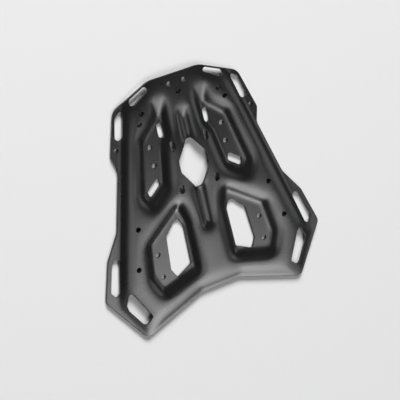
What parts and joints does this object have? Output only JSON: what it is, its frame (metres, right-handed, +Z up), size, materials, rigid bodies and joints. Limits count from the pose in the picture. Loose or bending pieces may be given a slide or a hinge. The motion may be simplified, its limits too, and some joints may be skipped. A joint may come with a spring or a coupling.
{
  "type": "motorcycle luggage rack",
  "caption": "Pressed sheet-metal luggage rack for a motorcycle's rear carrier, with sunk pockets, weight-saving windows, bolt holes and lashing slots along its sloping rim.",
  "frame": {"origin": "middle of the plate's box, at the height of the surface that it rests on", "axes": "+Y towards the rider's end, +Z up out of the raised face, +X the right-hand side seen from the rear"},
  "size_m": [0.332, 0.333, 0.012],
  "materials": {
    "powder_coat": "satin black powder coat, fine texture"
  },
  "bodies": {
    "root": {"rack_plate": "powder_coat"}
  },
  "joints": []
}
